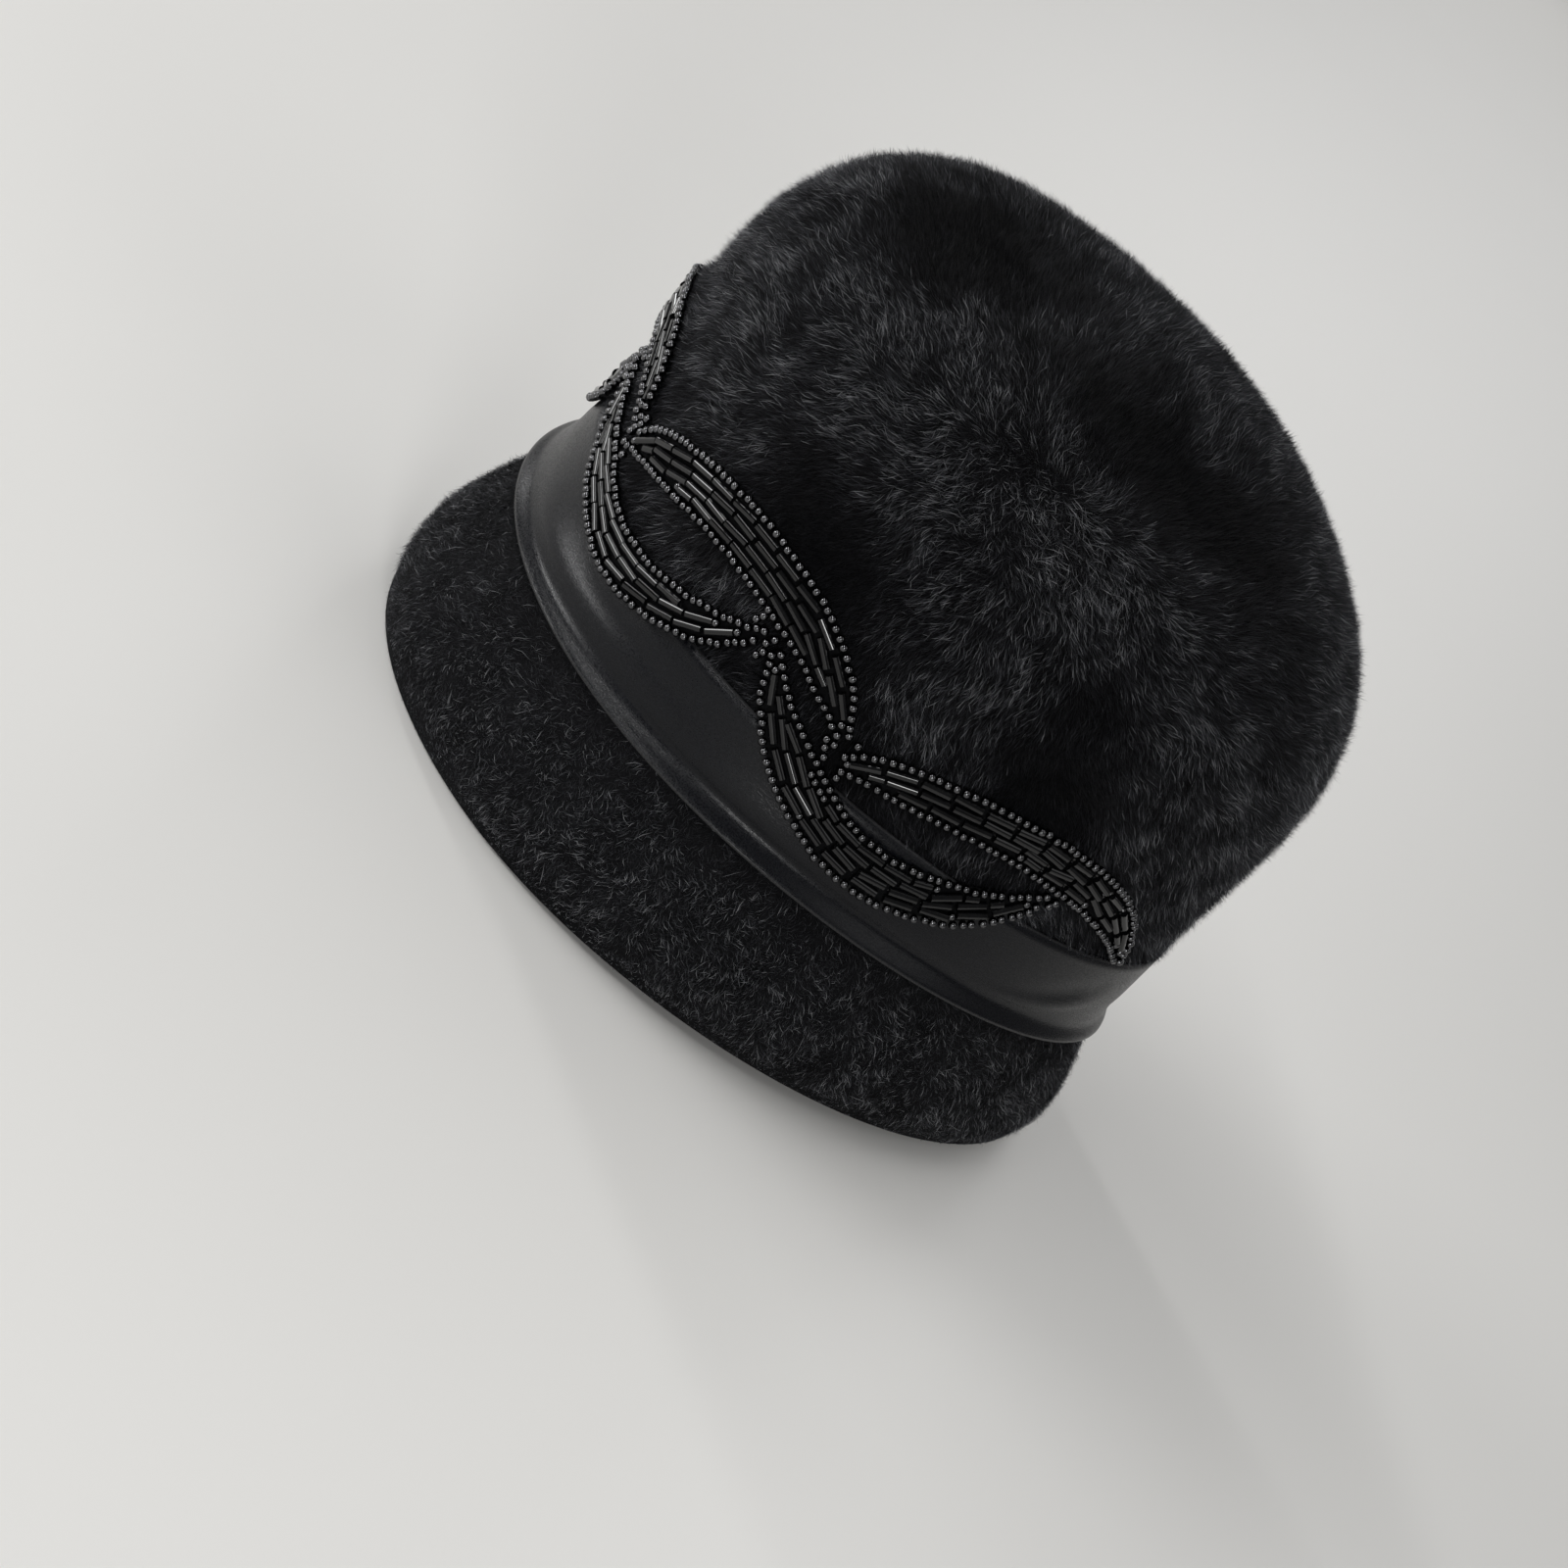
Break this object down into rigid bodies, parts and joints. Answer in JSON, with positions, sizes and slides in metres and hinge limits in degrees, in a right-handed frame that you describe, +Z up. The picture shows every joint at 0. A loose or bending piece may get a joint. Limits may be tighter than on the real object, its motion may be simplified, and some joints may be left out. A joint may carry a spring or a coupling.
{
  "type": "toque hat",
  "caption": "Tall soft fur-felt toque with a bell-shaped turned-down brim, a satin ribbon band and a beaded leaf trim. Hollow and open below, it stands on its rim.",
  "frame": {"origin": "under the middle of the hat, on the surface that the rim stands on", "axes": "+Z up through the crown, -Y towards the front of the hat, +X towards the wearer's left"},
  "size_m": [0.1866, 0.2192, 0.1691],
  "materials": {
    "fur_felt": "long-haired fur felt, black, pile laid flat",
    "napped_felt": "felt with a short matted nap, black",
    "satin_ribbon": "black satin with a soft sheen",
    "beadwork": "black glass tube and round beads on a thin black backing"
  },
  "bodies": {
    "root": {"crown": "fur_felt", "brim": "napped_felt", "ribbon_band": "satin_ribbon", "arch_a": "beadwork", "arch_b": "beadwork", "arch_c": "beadwork", "arch_d": "beadwork", "scoop_a": "beadwork", "scoop_b": "beadwork", "scoop_c": "beadwork", "scoop_d": "beadwork"}
  },
  "joints": []
}
